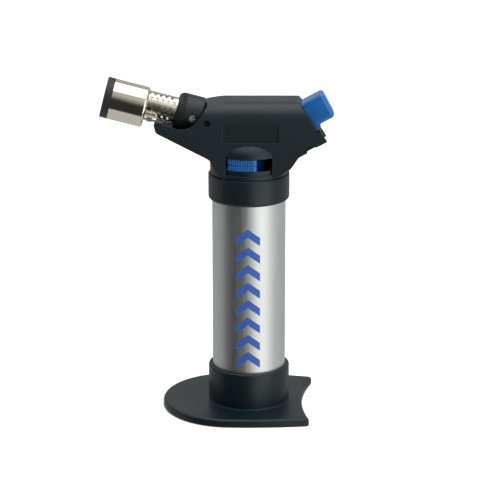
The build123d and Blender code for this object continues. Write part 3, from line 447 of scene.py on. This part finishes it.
# ------------------------------------------------------------------ seals
# O-rings and the valve's seat disc, moulded in black nitrile rubber with a dusty bloom.
rubber, tree, shader, place = new_material("nitrile_rubber")
bloom = add(tree, "ShaderNodeTexNoise", links={"Vector": place, "Scale": 1500.0, "Detail": 2.0})
tone = add(
    tree,
    "ShaderNodeMix",
    {"data_type": "RGBA"},
    {0: bloom.outputs["Fac"], 6: colour("0E0E0F"), 7: colour("242526")},
)
tree.links.new(tone.outputs[2], shader.inputs["Base Color"])
shader.inputs["Roughness"].default_value = 0.7
coat(rubber, "tank_seal", "refill_seal", "valve_seat_seal", "valve_oring")

# ------------------------------------------------------------------ brass valve parts
# Valve bodies, stems, the jet and the burner's base are turned from brass bar, so each shows the
# tool's fine rings.
brass, tree, shader, place = new_material("turned_brass")
rings = add(
    tree,
    "ShaderNodeTexWave",
    {"wave_type": "BANDS", "bands_direction": "Z"},
    {"Vector": place, "Scale": 1 / (1.2 * MM), "Distortion": 1.0},
)
tone = add(
    tree,
    "ShaderNodeMix",
    {"data_type": "RGBA"},
    {0: rings.outputs["Fac"], 6: colour("B8913F"), 7: colour("DDBB6A")},
)
tree.links.new(tone.outputs[2], shader.inputs["Base Color"])
groove = add(
    tree,
    "ShaderNodeBump",
    links={"Strength": 0.2, "Distance": 0.02 * MM, "Height": rings.outputs["Fac"]},
)
tree.links.new(groove.outputs["Normal"], shader.inputs["Normal"])
shader.inputs["Metallic"].default_value = 1.0
shader.inputs["Roughness"].default_value = 0.28
coat(
    brass,
    "refill_valve_body",
    "refill_stem",
    "gas_valve_body",
    "valve_stem",
    "regulator_sleeve",
    "jet_holder",
    "burner_base",
)

# ------------------------------------------------------------------ springs
# Coiled from hard-drawn steel wire, grey with fine draw lines.
wire, tree, shader, place = new_material("drawn_spring_steel")
draw = add(tree, "ShaderNodeTexNoise", links={"Vector": place, "Scale": 3000.0, "Detail": 3.0})
tone = add(
    tree,
    "ShaderNodeMix",
    {"data_type": "RGBA"},
    {0: draw.outputs["Fac"], 6: colour("8F9192"), 7: colour("C2C4C5")},
)
tree.links.new(tone.outputs[2], shader.inputs["Base Color"])
shader.inputs["Metallic"].default_value = 1.0
shader.inputs["Roughness"].default_value = 0.3
coat(wire, "refill_spring", "valve_spring", "trigger_spring")

# ------------------------------------------------------------------ zinc-plated steel
# Screws, pins and the stamped valve lever, zinc plated: pale grey with a cloudy spangle.
zinc, tree, shader, place = new_material("zinc_plated_steel")
spangle = add(tree, "ShaderNodeTexVoronoi", links={"Vector": place, "Scale": 1 / (0.7 * MM)})
tone = add(
    tree,
    "ShaderNodeMix",
    {"data_type": "RGBA"},
    {0: spangle.outputs["Color"], 6: colour("A6A9AA"), 7: colour("C9CCCC")},
)
tree.links.new(tone.outputs[2], shader.inputs["Base Color"])
shader.inputs["Metallic"].default_value = 1.0
shader.inputs["Roughness"].default_value = 0.32
coat(zinc, "housing_screws", "valve_lever", "valve_lever_pin", "lock_pin")

blacked, tree, shader, place = new_material("blackened_steel")
oil = add(tree, "ShaderNodeTexNoise", links={"Vector": place, "Scale": 1200.0, "Detail": 2.0})
tone = add(
    tree,
    "ShaderNodeMix",
    {"data_type": "RGBA"},
    {0: oil.outputs["Fac"], 6: colour("17181A"), 7: colour("2E2F32")},
)
tree.links.new(tone.outputs[2], shader.inputs["Base Color"])
shader.inputs["Metallic"].default_value = 0.8
shader.inputs["Roughness"].default_value = 0.4
coat(blacked, "burner_screw")

# ------------------------------------------------------------------ blue trigger button and flame lever
# Injection moulded ABS in one blue, polished in the mould, with a faint swirl of pigment.
blue, tree, shader, place = new_material("blue_moulded_abs")
swirl = add(
    tree,
    "ShaderNodeTexNoise",
    links={"Vector": place, "Scale": 90.0, "Detail": 3.0, "Distortion": 1.0},
)
tone = add(
    tree,
    "ShaderNodeMix",
    {"data_type": "RGBA"},
    {0: swirl.outputs["Fac"], 6: colour("02508F"), 7: colour("085EA3")},
)
tree.links.new(tone.outputs[2], shader.inputs["Base Color"])
rounded = add(tree, "ShaderNodeBevel", {"samples": 6}, {"Radius": 0.4 * MM})
orange_peel = add(tree, "ShaderNodeTexNoise", links={"Vector": place, "Scale": 700.0, "Detail": 1.0})
dimple = add(
    tree,
    "ShaderNodeBump",
    links={
        "Strength": 0.12,
        "Distance": 0.04 * MM,
        "Height": orange_peel.outputs["Fac"],
        "Normal": rounded.outputs["Normal"],
    },
)
tree.links.new(dimple.outputs["Normal"], shader.inputs["Normal"])
shader.inputs["Roughness"].default_value = 0.22
coat(blue, "trigger_button", "flame_lever")

# ------------------------------------------------------------------ piezo igniter and its lead
# The igniter is potted in a dark grey box. Its lead is silicone-sheathed wire, held inside the head.
potting, tree, shader, place = new_material("grey_potting_plastic")
mottle = add(tree, "ShaderNodeTexNoise", links={"Vector": place, "Scale": 600.0, "Detail": 2.0})
tone = add(
    tree,
    "ShaderNodeMix",
    {"data_type": "RGBA"},
    {0: mottle.outputs["Fac"], 6: colour("26282B"), 7: colour("35383B")},
)
tree.links.new(tone.outputs[2], shader.inputs["Base Color"])
shader.inputs["Roughness"].default_value = 0.5
coat(potting, "piezo_body", "piezo_plunger")

silicone, tree, shader, place = new_material("red_silicone_sheath")
dust = add(tree, "ShaderNodeTexNoise", links={"Vector": place, "Scale": 1500.0, "Detail": 2.0})
tone = add(
    tree,
    "ShaderNodeMix",
    {"data_type": "RGBA"},
    {0: dust.outputs["Fac"], 6: colour("8A1412"), 7: colour("A8211C")},
)
tree.links.new(tone.outputs[2], shader.inputs["Base Color"])
shader.inputs["Roughness"].default_value = 0.45
coat(silicone, "ignition_lead")

# ------------------------------------------------------------------ air ring
# The air ring is black phenolic, which stands the heat: harder and a little glossier than nylon,
# with a moulded knurl round its front edge.
phenolic, *_ = black_moulding("black_phenolic", "0E1719", "151F22", 0.38, GRAIN, 0.2)
coat(phenolic, "air_ring")

# ------------------------------------------------------------------ burner
# The mixing tube, the perforated burner tube, its clip and the electrode are nickel plated and
# bright. Heat has turned them straw yellow towards the flame.
NOZZLE_TILT = math.radians(14.6)
HEAT_START = -8 * MM  # along the nozzle, from the burner tube's middle
HEAT_FULL = 14 * MM
NOZZLE_MIDDLE = (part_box("burner_tube")[0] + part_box("burner_tube")[1]) / 2
NOZZLE_AXIS = Vector((-math.cos(NOZZLE_TILT), 0.0, math.sin(NOZZLE_TILT)))

nickel, tree, shader, place = new_material("bright_nickel_plate")
offset = add(tree, "ShaderNodeVectorMath", {"operation": "SUBTRACT"}, {0: place, 1: NOZZLE_MIDDLE})
along = add(
    tree,
    "ShaderNodeVectorMath",
    {"operation": "DOT_PRODUCT"},
    {0: offset.outputs[0], 1: NOZZLE_AXIS},
)
heat = add(tree, "ShaderNodeMapRange", links={"Value": along.outputs["Value"], 1: HEAT_START, 2: HEAT_FULL})
smear = add(tree, "ShaderNodeTexNoise", links={"Vector": place, "Scale": 160.0, "Detail": 3.0})
blend = add(
    tree,
    "ShaderNodeMath",
    {"operation": "MULTIPLY"},
    {0: heat.outputs["Result"], 1: smear.outputs["Fac"]},
)
tone = add(
    tree,
    "ShaderNodeMix",
    {"data_type": "RGBA"},
    {0: blend.outputs[0], 6: colour("E9E6DA"), 7: colour("DCC896")},
)
tree.links.new(tone.outputs[2], shader.inputs["Base Color"])
shader.inputs["Metallic"].default_value = 1.0
gloss = add(
    tree,
    "ShaderNodeMapRange",
    links={"Value": smear.outputs["Fac"], 1: 0.3, 2: 0.7, 3: 0.18, 4: 0.3},
)
tree.links.new(gloss.outputs["Result"], shader.inputs["Roughness"])
coat(nickel, "mixing_tube", "burner_tube", "flame_holder", "electrode", "electrode_clip", "ring_screw")

# ------------------------------------------------------------------ cowl
# A drawn steel cup, chrome plated, around the flame. Its open end has a rolled ring that the heat
# has blackened.
chrome, tree, shader, place = new_material("chrome_plate")
smear = add(tree, "ShaderNodeTexNoise", links={"Vector": place, "Scale": 110.0, "Detail": 4.0})
tone = add(
    tree,
    "ShaderNodeMix",
    {"data_type": "RGBA"},
    {0: smear.outputs["Fac"], 6: colour("E9E5D8"), 7: colour("D9D3BE")},
)
tree.links.new(tone.outputs[2], shader.inputs["Base Color"])
gloss = add(
    tree,
    "ShaderNodeMapRange",
    links={"Value": smear.outputs["Fac"], 1: 0.3, 2: 0.7, 3: 0.03, 4: 0.09},
)
tree.links.new(gloss.outputs["Result"], shader.inputs["Roughness"])
shader.inputs["Metallic"].default_value = 1.0
coat(chrome, "cowl")

scale, tree, shader, place = new_material("heat_blackened_steel")
soot = add(
    tree,
    "ShaderNodeTexNoise",
    links={"Vector": place, "Scale": 500.0, "Detail": 5.0, "Roughness": 0.65},
)
tone = add(
    tree,
    "ShaderNodeMix",
    {"data_type": "RGBA"},
    {0: soot.outputs["Fac"], 6: colour("1C1C1D"), 7: colour("3C3B3A")},
)
tree.links.new(tone.outputs[2], shader.inputs["Base Color"])
crust = add(
    tree,
    "ShaderNodeBump",
    links={"Strength": 0.3, "Distance": 0.05 * MM, "Height": soot.outputs["Fac"]},
)
tree.links.new(crust.outputs["Normal"], shader.inputs["Normal"])
shader.inputs["Metallic"].default_value = 0.5
shader.inputs["Roughness"].default_value = 0.5
coat(scale, "cowl_front_ring")

# ------------------------------------------------------------------ electrode insulator
# A glazed ceramic sleeve where the electrode passes through the burner's base.
glaze, tree, shader, place = new_material("glazed_ceramic")
crackle = add(tree, "ShaderNodeTexNoise", links={"Vector": place, "Scale": 800.0, "Detail": 2.0})
tone = add(
    tree,
    "ShaderNodeMix",
    {"data_type": "RGBA"},
    {0: crackle.outputs["Fac"], 6: colour("E2DED2"), 7: colour("F3F0E8")},
)
tree.links.new(tone.outputs[2], shader.inputs["Base Color"])
shader.inputs["Roughness"].default_value = 0.15
coat(glaze, "electrode_insulator")
